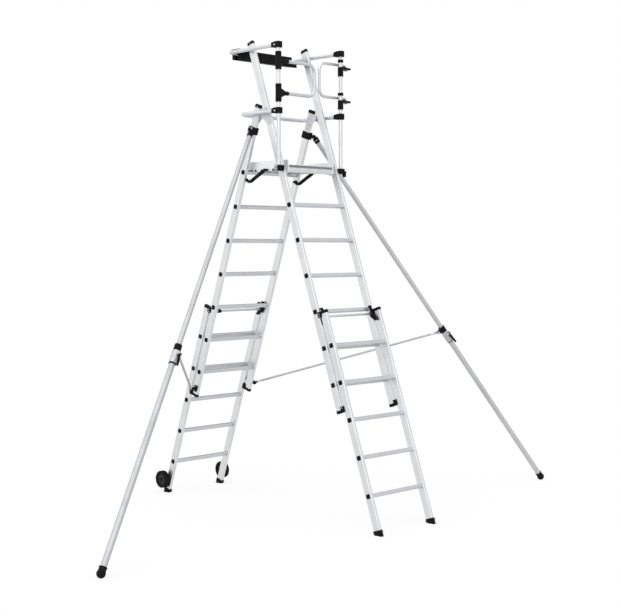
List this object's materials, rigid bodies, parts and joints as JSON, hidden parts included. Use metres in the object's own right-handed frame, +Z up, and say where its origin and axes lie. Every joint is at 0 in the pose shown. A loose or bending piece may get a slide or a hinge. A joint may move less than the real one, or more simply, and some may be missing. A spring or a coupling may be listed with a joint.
{
  "type": "folding work platform",
  "caption": "A-frame work platform of hinged extension ladders with a fold-up deck, guard rail with swing gates, tool tray, wheels and telescopic outriggers.",
  "frame": {"origin": "middle of the footprint, on the floor", "axes": "+X from the wheeled far ladder to the near ladder with the gates, +Y along the rungs from the left outrigger to the right one, +Z up"},
  "size_m": [2.4942, 4.774, 3.6314],
  "materials": {
    "aluminium": "mill-finish extrusion",
    "plate": "grey powder coat",
    "deck_panel": "pale grey",
    "black_plastic": "moulded, fine grain",
    "black_steel": "black powder coat",
    "casting": "cast, rough",
    "rubber": "matt",
    "tyre": "matt",
    "hub": "moulded"
  },
  "bodies": {
    "near_frame": {"near_upper_stile_left": "aluminium", "near_upper_stile_right": "aluminium", "near_upper_rungs": "aluminium", "near_upper_plugs": "black_plastic", "near_upper_end_caps": "black_plastic", "near_apex_plates": "plate", "guard_post_left": "aluminium", "guard_post_right": "aluminium", "post_sockets": "black_plastic", "top_rail": "aluminium", "knee_rail": "aluminium", "guard_connectors": "black_plastic"},
    "near_legs": {"near_lower_stile_left": "aluminium", "near_lower_stile_right": "aluminium", "near_lower_rungs": "aluminium", "near_lower_plugs": "black_plastic", "near_lower_guides": "black_plastic", "near_feet": "rubber"},
    "near_latch": {"near_latch": "black_plastic"},
    "far_frame": {"far_upper_stile_left": "aluminium", "far_upper_stile_right": "aluminium", "far_upper_rungs": "aluminium", "far_upper_plugs": "black_plastic", "far_upper_end_caps": "black_plastic", "far_apex_plates": "plate", "outrigger_brackets": "black_plastic"},
    "far_legs": {"far_lower_stile_left": "aluminium", "far_lower_stile_right": "aluminium", "far_lower_rungs": "aluminium", "far_lower_plugs": "black_plastic", "far_lower_guides": "black_plastic", "far_feet": "rubber", "wheel_axles": "black_steel"},
    "far_latch": {"far_latch": "black_plastic"},
    "platform": {"deck": "deck_panel", "deck_sides": "aluminium", "deck_fittings": "aluminium"},
    "stays": {"deck_stays": "black_steel"},
    "left_wheel": {"left_wheel_hub": "hub", "left_wheel_tyre": "tyre"},
    "left_outrigger": {"left_outrigger_tube": "aluminium", "left_outrigger_fittings": "black_plastic"},
    "left_leg": {"left_outrigger_leg": "aluminium", "left_outrigger_clamp": "casting", "left_outrigger_foot": "rubber"},
    "left_lever": {"left_clamp_lever": "black_plastic"},
    "left_strut": {"left_outrigger_strut": "aluminium"},
    "right_wheel": {"right_wheel_hub": "hub", "right_wheel_tyre": "tyre"},
    "right_outrigger": {"right_outrigger_tube": "aluminium", "right_outrigger_fittings": "black_plastic"},
    "right_leg": {"right_outrigger_leg": "aluminium", "right_outrigger_clamp": "casting", "right_outrigger_foot": "rubber"},
    "right_lever": {"right_clamp_lever": "black_plastic"},
    "right_strut": {"right_outrigger_strut": "aluminium"},
    "left_gate": {"left_gate": "aluminium", "left_gate_sleeves": "black_plastic"},
    "right_gate": {"right_gate": "aluminium"},
    "tool_tray": {"tool_tray": "black_plastic"}
  },
  "joints": [
    {"name": "ladder_fold", "type": "hinge", "parent": "near_frame", "child": "far_frame", "pos_m": [0.02269, 0, 3.07495], "axis": [0, -1, 0], "range_deg": [0, 36]},
    {"name": "deck_fold", "type": "hinge", "parent": "near_frame", "child": "platform", "pos_m": [0.23237, 0, 2.62874], "axis": [0, 1, 0], "range_deg": [0, 68.5]},
    {"name": "stay_fold", "type": "hinge", "parent": "far_frame", "child": "stays", "pos_m": [-0.19025, 0, 2.57279], "axis": [0, -1, 0], "range_deg": [0, 50.5]},
    {"name": "near_extension", "type": "slide", "parent": "near_frame", "child": "near_legs", "axis": [0.3231, 0, -0.9464], "range_m": [-0.84, 0.28]},
    {"name": "near_latch_swing", "type": "hinge", "parent": "near_legs", "child": "near_latch", "pos_m": [0.68801, 0, 1.5015], "axis": [0, 1, 0], "range_deg": [0, 22], "stiffness_Nm_per_rad": 4, "springref_deg": -20.05},
    {"name": "far_extension", "type": "slide", "parent": "far_frame", "child": "far_legs", "axis": [-0.3231, 0, -0.9464], "range_m": [-0.84, 0.28]},
    {"name": "far_latch_swing", "type": "hinge", "parent": "far_legs", "child": "far_latch", "pos_m": [-0.64264, 0, 1.5015], "axis": [0, -1, 0], "range_deg": [0, 22], "stiffness_Nm_per_rad": 4, "springref_deg": -20.05},
    {"name": "left_wheel_spin", "type": "hinge", "parent": "far_legs", "child": "left_wheel", "pos_m": [-1.17711, -0.331, 0.11164], "axis": [0, 1, 0], "continuous": true},
    {"name": "left_outrigger_fold", "type": "hinge", "parent": "far_frame", "child": "left_outrigger", "pos_m": [-0.04724, -0.342, 2.93289], "axis": [0.7236, 0.6444, -0.2471], "range_deg": [0, 38]},
    {"name": "left_strut_swing", "type": "hinge", "parent": "left_outrigger", "child": "left_strut", "pos_m": [0.36317, -1.41909, 1.32862], "axis": [-0.7106, -0.6547, 0.2578], "range_deg": [0, 101.5]},
    {"name": "left_leg_extension", "type": "slide", "parent": "left_outrigger", "child": "left_leg", "axis": [0.2215, -0.5559, -0.8012], "range_m": [0, 0.5]},
    {"name": "left_lever_swing", "type": "hinge", "parent": "left_leg", "child": "left_lever", "pos_m": [0.43968, -1.45974, 1.3218], "axis": [0, -0.8216, 0.57], "range_deg": [0, 90]},
    {"name": "right_wheel_spin", "type": "hinge", "parent": "far_legs", "child": "right_wheel", "pos_m": [-1.17711, 0.331, 0.11164], "axis": [0, 1, 0], "continuous": true},
    {"name": "right_outrigger_fold", "type": "hinge", "parent": "far_frame", "child": "right_outrigger", "pos_m": [-0.04724, 0.342, 2.93289], "axis": [-0.7236, 0.6444, 0.2471], "range_deg": [0, 38]},
    {"name": "right_strut_swing", "type": "hinge", "parent": "right_outrigger", "child": "right_strut", "pos_m": [0.36317, 1.41909, 1.32862], "axis": [0.7106, -0.6547, -0.2578], "range_deg": [0, 101.5]},
    {"name": "right_leg_extension", "type": "slide", "parent": "right_outrigger", "child": "right_leg", "axis": [0.2215, 0.5559, -0.8012], "range_m": [0, 0.5]},
    {"name": "right_lever_swing", "type": "hinge", "parent": "right_leg", "child": "right_lever", "pos_m": [0.43968, 1.45974, 1.3218], "axis": [0, -0.8216, -0.57], "range_deg": [0, 90]},
    {"name": "left_gate_swing", "type": "hinge", "parent": "near_frame", "child": "left_gate", "pos_m": [0.25077, -0.337, 3.44], "axis": [0, 0, 1], "range_deg": [0, 60], "stiffness_Nm_per_rad": 1, "springref_deg": -17.19},
    {"name": "right_gate_swing", "type": "hinge", "parent": "near_frame", "child": "right_gate", "pos_m": [0.21777, 0.429, 3.45499], "axis": [0, 0, -1], "range_deg": [0, 40], "stiffness_Nm_per_rad": 1, "springref_deg": -17.19},
    {"name": "tray_lift", "type": "slide", "parent": "near_frame", "child": "tool_tray", "axis": [0, 0, 1], "range_m": [0, 0.15]}
  ],
  "couplings": [
    {"joint": "deck_fold", "follows": "ladder_fold", "ratio": 1.886},
    {"joint": "stay_fold", "follows": "ladder_fold", "ratio": 1.38},
    {"joint": "left_strut_swing", "follows": "left_outrigger_fold", "ratio": 2.65},
    {"joint": "right_strut_swing", "follows": "right_outrigger_fold", "ratio": 2.65}
  ]
}
